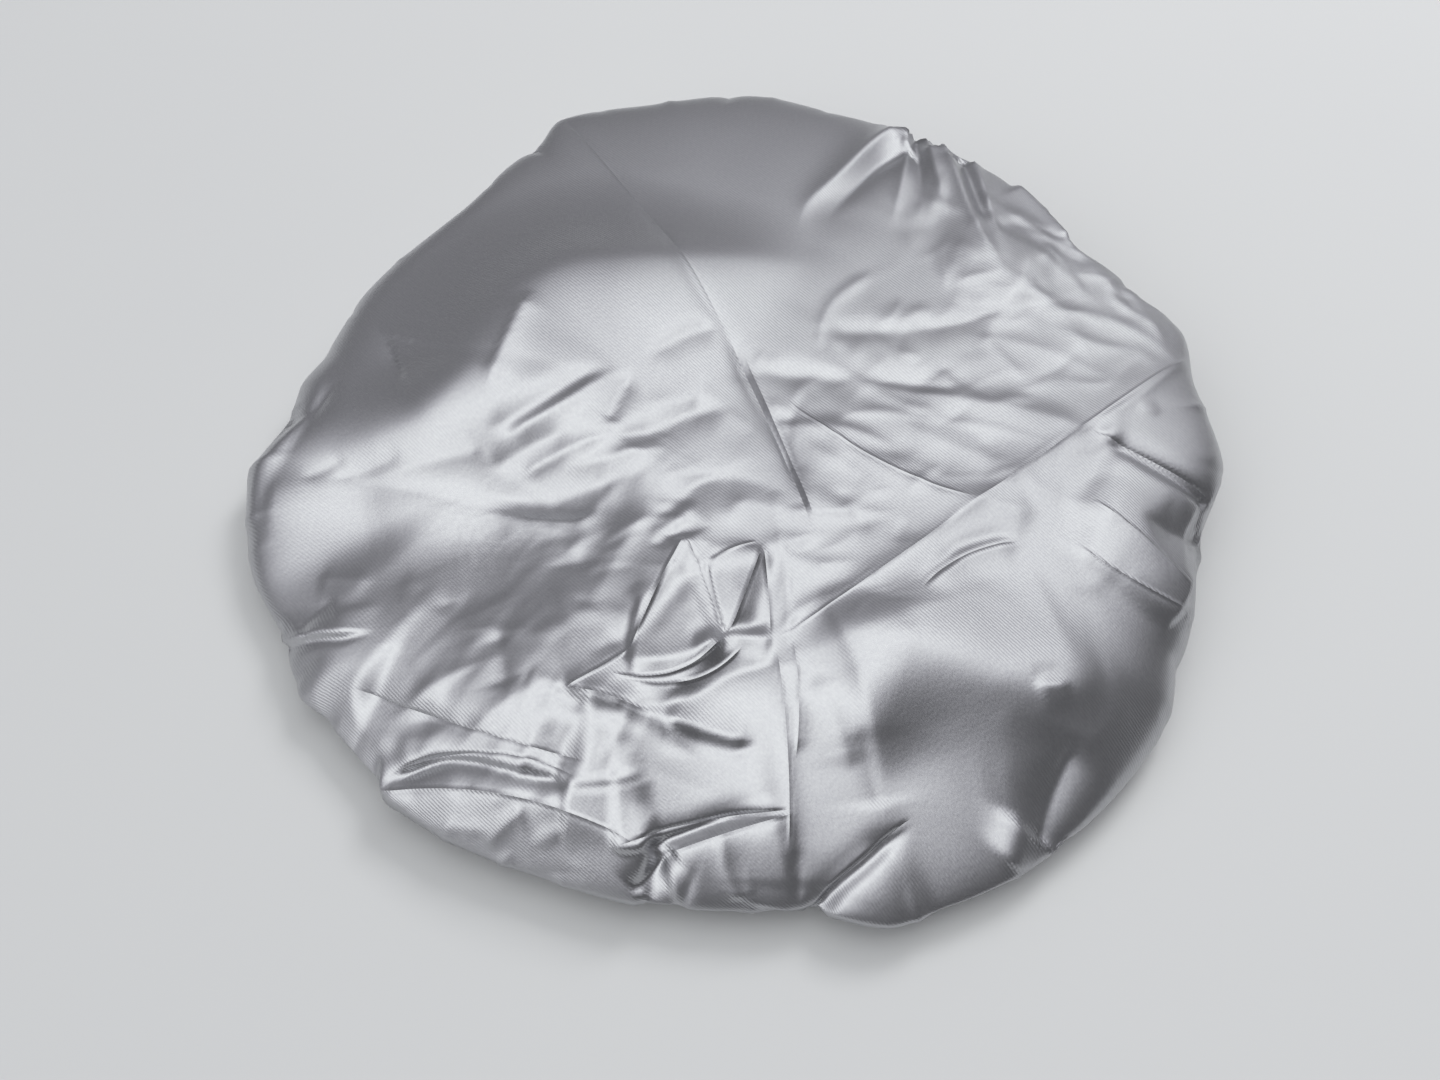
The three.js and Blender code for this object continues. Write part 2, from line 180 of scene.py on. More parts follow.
# cloth length from the crown's centre, measured along the middling section
sectionSteps = np.linspace(0, 3, 6001)
middling = (capShape["rimRadius"], capShape["crownPower"], 1 / capShape["crownPower"],
            capShape["rimHeight"], capShape["underInset"])
sectionLine = np.stack(capSection(sectionSteps, *middling), -1)
clothLength = lengthAlong(sectionLine)
rimLength, tableLength, hemLength = np.interp([1, 2, 3], sectionSteps, clothLength)
print(f"cloth from crown centre to rim {rimLength:.4f}, table {tableLength:.4f}, hem {hemLength:.4f} m")


def capSurface(flat):
    # a point of the flat cloth, laid as far along the section as it lies from the cloth's centre
    reach = np.hypot(flat[..., 0], flat[..., 1])
    angle = np.arctan2(flat[..., 1], flat[..., 0])
    along = np.interp(reach, clothLength, sectionSteps)
    lobes = roundTable(angle, capShape["rimOutline"]) * mm * smoothStep(capShape["lobeStart"], 1, along)
    degrees, *columns = np.array(capShape["sides"]).T
    late, sharp, rimHeight, underInset = (
        roundTable(angle, np.stack([degrees, column], -1)) for column in columns)
    rim = capShape["rimRadius"] + lobes
    radius, height = capSection(along, rim, late, sharp, rimHeight * mm, underInset * mm)
    return onCircle(radius, angle, height) + capAxis


def clothFrame(flat):
    # place, two directions along the cloth and the outward normal, by small steps on the flat cloth
    step = 0.5 * mm
    sideways = (capSurface(flat + [step, 0]) - capSurface(flat - [step, 0])) / (2 * step)
    onward = (capSurface(flat + [0, step]) - capSurface(flat - [0, step])) / (2 * step)
    normal = np.cross(sideways, onward)
    normal /= np.linalg.norm(normal, axis=-1, keepdims=True) + 1e-12
    return capSurface(flat), sideways, onward, normal


def discGrid(count):
    # a square grid pulled round: each square ring becomes a circle, with even steps along it
    side = np.linspace(-1, 1, count)
    across, onward = np.meshgrid(side, side, indexing="ij")
    wide = np.abs(across) >= np.abs(onward)
    reach = np.where(wide, across, onward)
    share = np.where(wide, onward, across) / np.where(reach == 0, 1, reach) * np.pi / 4
    angle = np.where(wide, share, np.pi / 2 - share)
    return onCircle(reach, angle)


# folds of the satin; shares are of a fold's half width
foldForm = {
    "crestTop": 0.08,          # rounded share of a crest
    "moundTop": 0.2,
    "facetEdge": 14,           # sharpness where a facet meets the cloth round it
    "facetTop": 0.002,         # square of the rounded share
    "dropWidth": 0.5,          # steep side of a pleat
    "gully": (0.3, 0.6, 0.3),  # depth under the pleat, place and width
    "ridgeTop": 0.1,
    "ridgeReach": 4,           # half widths at which a ridge dies out
    "endWidth": 0.4,           # width left where a fold has faded out
    "slideWidth": 0.8,
}


def smoothLine(points, count):
    # curve through the points, each piece bending towards its neighbours
    if len(points) == 2:
        points = np.array([points[0], points.mean(axis=0), points[1]])
    padded = np.vstack([2 * points[0] - points[1], points, 2 * points[-1] - points[-2]])
    spot = np.linspace(0, len(points) - 1, count)
    piece = np.minimum(spot.astype(int), len(points) - 2)
    share = (spot - piece)[:, None]
    before, start, end, after = (padded[piece + k] for k in range(4))
    bend = (2 * before - 5 * start + 4 * end - after) * share ** 2
    bend = bend + (3 * start - before - 3 * end + after) * share ** 3
    return 0.5 * (2 * start + (end - before) * share + bend)


def hollowSides(far, top):
    # 1 on the line and 0 a width away, falling as a square; top is the share of the width that is rounded
    return np.clip(1 + top - np.sqrt(far ** 2 + top ** 2), 0, None) ** 2


def foldProfile(kind, far, left):
    # height across a fold, 1 on its line: a bell, a mound with a round top, a crest with hollow sides, two
    # flat facets, a pleat that drops to a gully on its right, or a sharp ridge that dies out further off
    form = foldForm
    if kind == "soft":
        return np.exp(-far ** 2)
    if kind == "mound":
        return hollowSides(far, form["moundTop"])
    if kind == "crest":
        return hollowSides(far, form["crestTop"])
    if kind == "facet":
        edge = form["facetEdge"]
        return np.logaddexp(0, edge * (1 - np.sqrt(far ** 2 + form["facetTop"]))) / edge
    if kind == "pleat":
        depth, place, width = form["gully"]
        drop = hollowSides(far / form["dropWidth"], form["crestTop"])
        gully = depth * np.exp(-((far - place) / width) ** 2)
        return np.where(left, hollowSides(far, form["crestTop"]), drop - gully)
    return np.clip(1 - np.sqrt(far ** 2 + form["ridgeTop"] ** 2) / form["ridgeReach"], 0, None) ** 4


def foldField(flat, folds, spacing=1.5 * mm):
    # heights and sideways slides of all folds together, at points of the flat cloth
    height = np.zeros(len(flat))
    slide = np.zeros((len(flat), 2))
    for line in folds:
        reach = np.sum(np.hypot(*np.diff(line["flat"], axis=0).T))
        samples = smoothLine(line["flat"], max(16, int(reach / spacing)))
        left, right = (wide * mm for wide in line["wide"])
        margin = foldForm["ridgeReach"] * max(left, right)
        near = np.all((flat > samples.min(axis=0) - margin) & (flat < samples.max(axis=0) + margin), axis=1)
        spots = np.flatnonzero(near)
        if len(spots) == 0:
            continue
        gap = flat[spots, None, :] - samples[None]
        closest = np.argmin(np.sum(gap ** 2, axis=-1), axis=1)
        tangent = np.gradient(samples, axis=0)
        stride = np.linalg.norm(tangent, axis=1) + 1e-12
        tangent = (tangent / stride[:, None])[closest]
        gap = gap[np.arange(len(spots)), closest]
        across = gap[:, 1] * tangent[:, 0] - gap[:, 0] * tangent[:, 1]
        share = (closest + np.sum(gap * tangent, axis=1) / stride[closest]) / (len(samples) - 1)
        fadeIn, fadeOut = line["ends"]
        fade = smoothStep(0, max(fadeIn, 0.01), share) * smoothStep(0, max(fadeOut, 0.01), 1 - share)
        rise = line["rise"] * mm * (-1 if line["kind"] == "groove" else 1)
        width = np.where(across > 0, left, right) * (foldForm["endWidth"] + (1 - foldForm["endWidth"]) * fade)
        height[spots] += rise * fade * foldProfile(line["kind"], np.abs(across) / width, across > 0)
        if line["slide"]:
            pull = line["slide"] * mm * fade * np.exp(-(across / (foldForm["slideWidth"] * right)) ** 2)
            slide[spots] += pull[:, None] * np.stack([tangent[:, 1], -tangent[:, 0]], -1)
    return height, slide


netGrid = {"turns": 900, "reaches": 420, "first": 0.5 * mm, "foldSpacing": 8 * mm}


def clothMap(lift):
    # a fine net over the seen side of the cap, lifted by a height field: its pixels and its flat cloth points
    turns = np.linspace(-np.pi, np.pi, netGrid["turns"], endpoint=False)
    reaches = np.linspace(netGrid["first"], tableLength, netGrid["reaches"])
    flat = onCircle(reaches, turns[:, None]).reshape(-1, 2)
    place, sideways, onward, normal = clothFrame(flat)
    seen = np.sum(normal * (photoAxes()[3] - place), axis=-1) > 0
    return toPixels(place[seen] + normal[seen] * lift(flat[seen])[:, None]), flat[seen]


netPixels, netFlat = clothMap(lambda flat: np.zeros(len(flat)))


def onCloth(pixels):
    # flat cloth points under pixels of the photograph
    spots = [np.argmin(np.sum((netPixels - pixel) ** 2, axis=-1)) for pixel in np.array(pixels, float)]
    return netFlat[spots]


def fold(kind, rise, wide, line, ends=(0.2, 0.2), slide=0.0):
    # one fold along a line of photograph pixels; rise, half widths left and right of the line's direction,
    # and slide over the right side are in millimetres; ends are the shares of the line that fade in and out
    return dict(kind=kind, rise=rise, wide=wide, flat=onCloth(line), ends=ends, slide=slide)


# broad forms of the crown, each row as fold takes it; the finer folds are then drawn on the raised cloth
broadSwells = [fold(*row) for row in (
    ("mound", 11.0, (50, 80), ((270, 478), (340, 442), (425, 420), (486, 380), (524, 324), (572, 291),
        (650, 280), (745, 268), (850, 270)), (0.45, 0.3)),
    ("soft", 3.0, (18, 26), ((930, 266), (1000, 262), (1060, 286)), (0.3, 0.3)),
    ("crest", 9.5, (60, 70), ((262, 590), (320, 648), (360, 675), (409, 697), (468, 710), (537, 722),
        (620, 712), (700, 680), (790, 645)), (0.1, 0.4)),
    ("soft", -14.0, (26, 50), ((246, 500), (330, 488), (410, 484), (500, 488), (600, 503), (700, 530)),
        (0.05, 0.45)),
    ("mound", 6.5, (36, 34), ((812, 622), (868, 634), (935, 656), (1000, 682), (1060, 694), (1115, 684),
        (1170, 655)), (0.28, 0.3)),
    ("crest", 5.6, (54, 22), ((822, 584), (842, 635), (860, 683), (876, 738), (890, 790)), (0.3, 0.5)),
    ("crest", 2.0, (30, 60), ((790, 890), (790, 800), (786, 700), (784, 600)), (0.05, 0.4)),
)]
broadFade = (0.74, 1.02)       # shares of the way to the rim between which the broad forms die out


def broadHeights(flat, spacing=1.5 * mm):
    # the broad forms together, dying out towards the rim
    share = np.hypot(flat[:, 0], flat[:, 1]) / rimLength
    return foldField(flat, broadSwells, spacing)[0] * (1 - smoothStep(*broadFade, share))


netPixels, netFlat = clothMap(lambda flat: broadHeights(flat, netGrid["foldSpacing"]))

# finer folds, rows as above
storageCreases = (
    ("groove", 0.7, (3, 2.5), ((560, 112), (600, 150), (640, 205), (697, 286), (728, 335), (749, 384),
        (783, 448), (797, 492), (815, 530)), (0.03, 0.1)),
    ("groove", 1.8, (5, 3.5), ((722, 325), (749, 384), (783, 448), (800, 500)), (0.3, 0.3)),
    ("ridge", 0.5, (2.0, 2.0), ((738, 340), (758, 384), (791, 444), (806, 492), (815, 530)), (0.3, 0.3)),
    ("ridge", 0.5, (1.8, 1.8), ((1190, 360), (1131, 402), (1056, 445), (976, 503), (860, 582), (808, 605),
        (772, 640)), (0.05, 0.1)),
    ("crest", 1.4, (20, 20), ((1190, 360), (1056, 445), (976, 503), (860, 582), (772, 640)), (0.1, 0.2)),
    ("ridge", 0.8, (2.2, 2.2), ((777, 650), (784, 709), (788, 769), (790, 812), (790, 868)), (0.1, 0.1)),
    ("ridge", 0.7, (2.2, 2.2), ((793, 640), (799, 709), (797, 755)), (0.1, 0.2)),
    ("ridge", 0.5, (1.8, 1.8), ((775, 488), (779, 530), (788, 590), (787, 658)), (0.1, 0.1)),
)

centreFacets = (
    ("pleat", 1.5, (14, 11), ((626, 656), (640, 610), (658, 582), (677, 555), (684, 535)), (0.25, 0.1), 0.5),
    ("crest", 1.3, (10, 10), ((684, 535), (695, 555), (704, 578), (713, 619), (724, 635)), (0.05, 0.1)),
    ("pleat", 1.7, (12, 11), ((727, 638), (745, 592), (762, 545)), (0.25, 0.1), 0.5),
    ("groove", 0.9, (4, 4), ((706, 562), (716, 600), (727, 636)), (0.1, 0.1)),
    ("pleat", 1.3, (9, 9), ((774, 639), (728, 638), (690, 655)), (0.1, 0.2)),
    ("facet", 3.2, (30, 5), ((622, 660), (670, 660), (728, 640)), (0.15, 0.15)),
    ("ridge", 0.9, (3, 3), ((649, 538), (668, 526), (690, 517))),
    ("groove", 0.9, (2, 2), ((651, 547), (668, 537), (687, 526))),
    ("ridge", 1.2, (4, 3), ((612, 673), (661, 675), (695, 660), (726, 637)), (0.2, 0.1)),
    ("ridge", 1.0, (3, 3), ((631, 681), (670, 686), (684, 681), (718, 658), (743, 647))),
    ("groove", 1.4, (5, 4), ((590, 710), (684, 699), (730, 674), (787, 658))),
    ("ridge", 0.8, (3, 3), ((527, 672), (564, 687))),
    ("ridge", 1.3, (6, 5), ((564, 686), (592, 670), (629, 647))),
    ("ridge", 0.9, (3, 3), ((569, 687), (601, 690), (629, 706))),
)

centreWaves = (
    ("crest", -1.8, (14, 18), ((470, 492), (545, 500), (590, 486), (650, 468)), (0.3, 0.2)),
    ("crest", 1.4, (6, 12), ((480, 511), (545, 521), (578, 521), (600, 508)), (0.2, 0.3)),
    ("crest", -1.6, (10, 14), ((640, 524), (672, 508), (700, 480), (735, 476), (782, 494)), (0.2, 0.3)),
    ("crest", 1.2, (10, 6), ((600, 545), (647, 519), (679, 517), (697, 498)), (0.2, 0.2)),
    ("crest", -1.3, (8, 9), ((484, 432), (545, 396), (606, 361)), (0.2, 0.3)),
    ("crest", 1.1, (5, 6), ((500, 440), (560, 404), (622, 366)), (0.2, 0.3)),
    ("crest", -1.1, (7, 8), ((488, 470), (535, 443), (575, 428)), (0.2, 0.3)),
    ("crest", 1.0, (5, 5), ((520, 476), (560, 455), (612, 432)), (0.2, 0.3)),
    ("crest", -1.2, (6, 7), ((604, 424), (618, 396), (634, 370)), (0.2, 0.3)),
    ("crest", -1.5, (9, 12), ((612, 436), (655, 428), (696, 411), (735, 408)), (0.2, 0.3)),
    ("crest", 1.0, (6, 8), ((560, 470), (610, 458), (668, 446)), (0.3, 0.3)),
    ("crest", -0.9, (7, 9), ((640, 360), (690, 332), (720, 326)), (0.3, 0.3)),
    ("ridge", 2.2, (4, 4), ((533, 286), (508, 340), (487, 390)), (0.2, 0.2)),
    ("crest", -1.5, (9, 16), ((757, 372), (835, 376), (911, 383), (960, 392)), (0.15, 0.3)),
    ("crest", -0.9, (8, 10), ((801, 332), (880, 330), (954, 323), (1025, 304)), (0.2, 0.3)),
    ("crest", 1.0, (6, 8), ((770, 424), (840, 428), (900, 450)), (0.2, 0.3)),
    ("ridge", 0.6, (2, 2), ((875, 271), (832, 304), (816, 350))),
    ("ridge", 0.6, (2, 2), ((979, 332), (1025, 381))),
)

rightFolds = (
    ("pleat", 1.0, (16, 16), ((1040, 515), (978, 503), (919, 487), (860, 457), (790, 402)), (0.1, 0.2), 0.5),
    ("pleat", 1.0, (16, 16), ((1090, 432), (1025, 411), (954, 398), (905, 391))),
    ("facet", 1.4, (22, 3), ((1089, 431), (1143, 454), (1212, 504)), (0.25, 0.05)),
    ("groove", 2.4, (3, 4), ((1095, 436), (1146, 460), (1208, 508)), (0.3, 0.05)),
    ("facet", 1.7, (5.5, 24), ((1104, 446), (1146, 474), (1200, 514)), (0.3, 0.05)),
    ("facet", 3.2, (17, 20), ((1062, 495), (1110, 517), (1150, 550), (1190, 592)), (0.35, 0.05)),
    ("groove", 2.6, (6, 6), ((1205, 546), (1172, 532), (1135, 515)), (0.05, 0.5)),
    ("facet", 1.8, (16, 5), ((1050, 536), (1110, 570), (1155, 604), (1190, 622)), (0.35, 0.05)),
    ("pleat", 1.0, (10, 7), ((1023, 543), (992, 549), (966, 558), (950, 572), (921, 588)), (0.2, 0.2), 0.4),
    ("pleat", 0.8, (8, 7), ((1070, 685), (1036, 686))),
    ("groove", 3.0, (7, 7), ((1082, 734), (1054, 801), (1041, 847)), (0.2, 0.1)),
    ("soft", 2.0, (5, 5), ((1022, 815), (1013, 842), (1004, 868))),
    ("ridge", 0.9, (6, 6), ((811, 670), (830, 704), (841, 736), (852, 771))),
    ("groove", 0.9, (7, 7), ((862, 723), (873, 778), (880, 810))),
)

nearPleats = (
    ("pleat", 1.6, (10, 7), ((545, 680), (600, 697), (650, 716), (703, 757))),
    ("pleat", 1.8, (10, 7), ((660, 713), (701, 729), (758, 744)), (0.2, 0.2), 0.4),
    ("facet", -4.0, (24, 11), ((352, 687), (409, 709), (468, 727), (537, 747), (592, 762)), (0.1, 0.15)),
    ("facet", 2.0, (10, 3.2), ((395, 772), (432, 752), (469, 751), (530, 766), (585, 776)), (0.15, 0.25),
        0.4),
    ("groove", 4.2, (3, 5), ((385, 782), (432, 760), (469, 759), (530, 773), (580, 781)), (0.15, 0.25)),
    ("facet", 4.2, (12, 36), ((373, 791), (430, 789), (519, 793), (570, 812), (622, 839), (665, 851)),
        (0.05, 0.1), 0.6),
    ("crest", 1.4, (20, 3), ((550, 776), (590, 779), (650, 772)), (0.2, 0.2), 0.4),
    ("facet", 1.8, (5, 16), ((560, 788), (600, 790), (655, 780)), (0.2, 0.2)),
    ("ridge", 0.8, (3, 3), ((485, 844), (530, 801))),
    ("facet", 1.6, (36, 2.8), ((610, 843), (641, 840), (676, 829), (710, 817), (742, 809), (795, 808)),
        (0.1, 0.15), 0.5),
    ("groove", 3.0, (2.6, 3.6), ((640, 846), (676, 834), (710, 822), (742, 813), (790, 811)), (0.1, 0.2)),
    ("facet", 2.6, (7, 26), ((655, 856), (690, 846), (719, 837), (761, 821), (795, 812)), (0.1, 0.2)),
    ("groove", 3.0, (3.5, 3.5), ((676, 849), (653, 872), (634, 889)), (0.1, 0.1)),
    ("ridge", 0.9, (3, 3), ((719, 824), (724, 851), (726, 870), (742, 902)), (0.1, 0.1)),
    ("facet", 1.8, (26, 3), ((802, 915), (830, 883), (871, 847), (914, 817)), (0.05, 0.25), 0.5),
    ("groove", 3.0, (2.8, 4), ((806, 917), (834, 887), (874, 851), (912, 820)), (0.05, 0.3)),
    ("facet", 2.8, (6.5, 24), ((822, 915), (848, 896), (874, 874), (908, 832)), (0.05, 0.3)),
)

leftFolds = (
    ("soft", 0.9, (7, 10), ((262, 497), (330, 492), (410, 501), (500, 513), (584, 522)), (0.05, 0.3)),
    ("groove", 0.5, (5, 4), ((345, 480), (410, 490), (470, 505), (569, 517))),
    ("groove", 0.6, (3, 3), ((302, 480), (344, 456))),
    ("groove", 0.6, (3, 3), ((329, 480), (404, 453))),
    ("ridge", 0.8, (4, 4), ((356, 483), (458, 456), (479, 447))),
    ("ridge", 0.8, (4, 6), ((317, 579), (345, 579), (374, 580))),
    ("pleat", 2.0, (9, 5), ((283, 641), (320, 630), (374, 630)), (0.05, 0.3), 0.6),
    ("groove", 1.2, (5, 5), ((300, 632), (308, 621), (338, 597))),
    ("groove", 1.4, (4, 4), ((497, 630), (500, 660), (503, 690))),
    ("groove", 1.4, (6, 6), ((285, 425), (310, 408), (345, 372)), (0.05, 0.4)),
)

farGathers = (
    ("ridge", 4.6, (5, 7), ((907, 138), (884, 139), (841, 176), (807, 206), (798, 235)), (0.02, 0.9)),
    ("groove", 3.5, (5, 5), ((908, 150), (880, 162), (850, 192), (820, 226)), (0.02, 0.8)),
    ("ridge", 3.4, (4, 5), ((906, 140), (905, 160), (899, 197), (888, 232)), (0.02, 0.9)),
    ("groove", 3.0, (4, 4), ((915, 142), (920, 170), (922, 205)), (0.02, 0.8)),
    ("ridge", 3.4, (4, 4), ((924, 145), (930, 157), (940, 191), (946, 220)), (0.02, 0.9)),
    ("ridge", 4.2, (5, 5), ((939, 152), (966, 206), (994, 255), (1017, 280)), (0.02, 0.9)),
    ("groove", 3.0, (4, 4), ((958, 160), (980, 206), (1003, 252)), (0.02, 0.8)),
    ("ridge", 3.6, (5, 6), ((970, 165), (991, 219), (1012, 258)), (0.02, 0.9)),
    ("ridge", 0.9, (6, 6), ((1015, 274), (1055, 310), (1095, 365))),
    ("ridge", 3.0, (7, 7), ((1010, 183), (1050, 220), (1082, 258)), (0.1, 0.4)),
)


def crease(rise, wide, line):
    # one sharp crease through three pixels of the photograph; rise and half width in millimetres
    return dict(rise=rise, wide=wide, flat=onCloth(line))


# pressed lines too thin for the mesh; two bumps of the satin draw them
creaseRows = {
    "middle": (
        (-0.40, 1.6, ((728, 335), (773, 430), (812, 527))),
        (0.34, 1.4, ((742, 350), (786, 446), (818, 528))),
        (0.20, 1.2, ((777, 650), (787, 740), (790, 850))),
        (0.18, 1.2, ((793, 640), (800, 705), (796, 760))),
        (0.40, 1.4, ((628, 656), (655, 590), (684, 535))),
        (-0.30, 1.4, ((684, 535), (703, 578), (724, 634))),
        (0.36, 1.3, ((707, 563), (715, 600), (726, 634))),
        (0.30, 1.3, ((707, 563), (733, 549), (757, 541))),
        (0.40, 1.4, ((727, 635), (745, 590), (761, 545))),
        (-0.26, 1.4, ((761, 545), (768, 590), (770, 637))),
        (0.40, 1.3, ((612, 673), (664, 675), (726, 637))),
        (0.32, 1.2, ((631, 681), (684, 682), (743, 647))),
        (0.36, 1.3, ((566, 687), (598, 670), (630, 648))),
        (0.32, 1.2, ((566, 687), (606, 694), (651, 714))),
    ),
    "outer": (
        (-0.26, 1.4, ((560, 112), (640, 205), (728, 335))),
        (0.17, 1.2, ((1190, 360), (1065, 440), (960, 513))),
        (0.19, 1.2, ((960, 513), (870, 577), (774, 639))),
        (-0.34, 1.8, ((921, 588), (966, 558), (1023, 543))),
        (-0.34, 1.3, ((622, 841), (710, 818), (795, 810))),
        (0.34, 1.3, ((671, 851), (735, 830), (795, 812))),
        (-0.30, 1.2, ((352, 687), (468, 727), (592, 762))),
        (-0.34, 1.2, ((400, 766), (470, 751), (580, 775))),
        (0.34, 1.3, ((373, 791), (500, 790), (650, 847))),
        (-0.34, 1.3, ((1089, 431), (1146, 456), (1210, 503))),
        (0.34, 1.3, ((1075, 545), (1125, 578), (1190, 618))),
        (-0.34, 1.3, ((802, 915), (850, 866), (914, 817))),
        (0.30, 1.3, ((787, 398), (860, 452), (976, 502))),
        (0.30, 1.3, ((1090, 500), (1143, 543), (1186, 590))),
    ),
}
sharpCreases = {group: [crease(*row) for row in rows] for group, rows in creaseRows.items()}

# small creases strewn over the satin, the same on every run; slope is the rise over the narrower half width
crumple = {"seed": 11, "count": 210, "length": (8, 34), "slope": (0.08, 0.22), "wide": (1.6, 4.0)}
# longer soft wrinkles, leaning one way on the left of the crown and the other way on the right
swells = {"seed": 23, "count": 46, "length": (24, 64), "slope": (0.05, 0.11), "wide": (3.5, 9.0)}
leanings = {
    "left": 0.70,              # radians from +X
    "right": -0.42,
    "spread": 0.32,
    "turn": (-0.3, 0.4),       # shares of the crown's radius in x between which the lean turns
}
strewn = {"bend": 0.25, "ends": (0.4, 0.4)}
# far left and near right stay nearly smooth: direction, and places along it where that starts and is full
smoothSides = (((-0.62, 0.78), -0.2, 0.25), ((0.62, -0.78), 0.25, 0.6))
crownShare = 0.97              # creases stay within this share of the way to the rim


def isSmooth(middle, chance):
    # chance of leaving a place smooth: grows towards either smooth side
    share = sum(smoothStep(start, full, middle @ np.array(side)) for side, start, full in smoothSides)
    return chance.random() < share


def strewnFolds(look, kinds, leaning):
    # short bent lines at random places over the crown
    chance = np.random.default_rng(look["seed"])
    folds = []
    while len(folds) < look["count"]:
        middle = chance.uniform(-crownShare, crownShare, 2)
        if np.hypot(*middle) > crownShare or isSmooth(middle, chance):
            continue
        lean = chance.uniform(0, np.pi)
        if leaning:
            swing = (leaning["right"] - leaning["left"]) * smoothStep(*leaning["turn"], middle[0])
            lean = leaning["left"] + swing + chance.normal(0, leaning["spread"])
        half = chance.uniform(*look["length"]) / 2 * np.array([np.cos(lean), np.sin(lean)])
        bend = chance.uniform(-strewn["bend"], strewn["bend"]) * np.array([-half[1], half[0]])
        line = middle * rimLength + np.array([-half, bend, half]) * mm
        wide = chance.uniform(*look["wide"], 2)
        kind = chance.choice(kinds)
        rise = chance.uniform(*look["slope"]) * wide.min()
        folds.append(dict(kind=kind, rise=rise, wide=wide, flat=line, ends=strewn["ends"], slide=0))
    return folds


# pleats that run over the rim, and gathers of the underside
rimPleats = {
    "seed": 5,
    "count": 44,
    "inward": (4, 26),         # millimetres from the rim, as the next two
    "rise": (0.4, 1.6),
    "wide": (2, 4.5),
    "uneven": 0.4,             # largest shift, in spaces between two pleats
    "lean": 0.08,              # largest lean, in radians round the middle
    "ends": (0.05, 0.6),
}
gathers = {
    "count": 62,
    "drift": (2.6, 1.8),
    "depth": 4.2 * mm,
    "swing": 1.25,
    "grow": (10 * mm, 12 * mm),    # they start this far past the rim and are full this far on the table
    "flatten": 0.75,
    "casing": (22 * mm, 6 * mm),   # lengths before the hem between which they flatten
}


def rimPleatFolds():
    # radial lines from under the rim up over it, at uneven angles
    look = rimPleats
    chance = np.random.default_rng(look["seed"])
    folds = []
    for k in range(look["count"]):
        turn = (k + chance.uniform(-look["uneven"], look["uneven"])) / look["count"] * 2 * np.pi
        lean = chance.uniform(-look["lean"], look["lean"])
        reaches = np.array([tableLength, rimLength, rimLength - chance.uniform(*look["inward"]) * mm])
        line = onCircle(reaches, turn + lean * np.array([0, 0.4, 1]))
        kind = chance.choice(["ridge", "groove"])
        rise = chance.uniform(*look["rise"])
        wide = chance.uniform(*look["wide"], 2)
        folds.append(dict(kind=kind, rise=rise, wide=wide, flat=line, ends=look["ends"], slide=0))
    return folds


def gatherPhase(flat):
    # share of the gathers' depth and their uneven phase round the hem, at points of the flat cloth
    reach = np.hypot(flat[..., 0], flat[..., 1])
    angle = np.arctan2(flat[..., 1], flat[..., 0])
    first, second = gathers["drift"]
    phase = gathers["count"] * angle + first * np.sin(5 * angle + 1) + second * np.sin(9 * angle + 2)
    start, full = gathers["grow"]
    return smoothStep(rimLength + start, tableLength + full, reach), phase, reach, angle


def gatherShift(flat):
    # cloth bunched round the hem: it runs back and forth along the rim's direction as it rises and falls
    deep, phase, reach, angle = gatherPhase(flat)
    swing = gathers["swing"] / (2 * gathers["count"]) * deep * np.sin(2 * phase) * reach
    return swing[:, None] * np.stack([-np.sin(angle), np.cos(angle)], -1)


def gatherHeights(flat):
    # waves pushed inwards, growing under the rim and flattened in the casing
    deep, phase, reach, angle = gatherPhase(flat)
    start, full = gathers["casing"]
    flatten = 1 - gathers["flatten"] * smoothStep(hemLength - start, hemLength - full, reach)
    return -gathers["depth"] * deep * flatten * (0.5 + 0.5 * np.cos(phase))


drawnFolds = storageCreases + centreFacets + centreWaves + rightFolds + nearPleats + leftFolds + farGathers
allFolds = [fold(*row) for row in drawnFolds]
allFolds += strewnFolds(crumple, ["ridge", "groove", "soft"], None)
allFolds += strewnFolds(swells, ["crest"], leanings)
allFolds += rimPleatFolds()


def clothShape(flat, inward=0.0):
    # the cap's surface with all its folds and gathers, and moved inwards for a layer under the satin
    place, sideways, onward, normal = clothFrame(flat + gatherShift(flat))
    height, slide = foldField(flat, allFolds)
    height = height + broadHeights(flat) + gatherHeights(flat) - inward
    return place + normal * height[:, None] + sideways * slide[:, :1] + onward * slide[:, 1:]


print("folds drawn")


# mesh and shader helpers

def gridObject(name, points, flat=None, wrapRows=False, wrapColumns=False):
    # quads over a grid of points; flat is kept as the UV map of the cloth, in metres
    rows, columns = points.shape[:2]
    index = np.arange(rows * columns).reshape(rows, columns)
    if wrapRows:
        index = np.vstack([index, index[:1]])
    if wrapColumns:
        index = np.hstack([index, index[:, :1]])
    quads = np.stack([index[:-1, :-1], index[1:, :-1], index[1:, 1:], index[:-1, 1:]], -1).reshape(-1, 4)
    mesh = bpy.data.meshes.new(name)
    mesh.vertices.add(rows * columns)
    mesh.vertices.foreach_set("co", points.astype(np.float32).ravel())
    mesh.loops.add(quads.size)
    mesh.loops.foreach_set("vertex_index", quads.astype(np.int32).ravel())
    mesh.polygons.add(len(quads))
    mesh.polygons.foreach_set("loop_start", np.arange(0, quads.size, 4, dtype=np.int32))
    mesh.update(calc_edges=True)
    mesh.shade_smooth()
    if flat is not None:
        layer = mesh.uv_layers.new(name="cloth")
        layer.data.foreach_set("uv", flat.reshape(-1, 2)[quads.ravel()].astype(np.float32).ravel())
    thing = bpy.data.objects.new(name, mesh)
    scene.collection.objects.link(thing)
    return thing


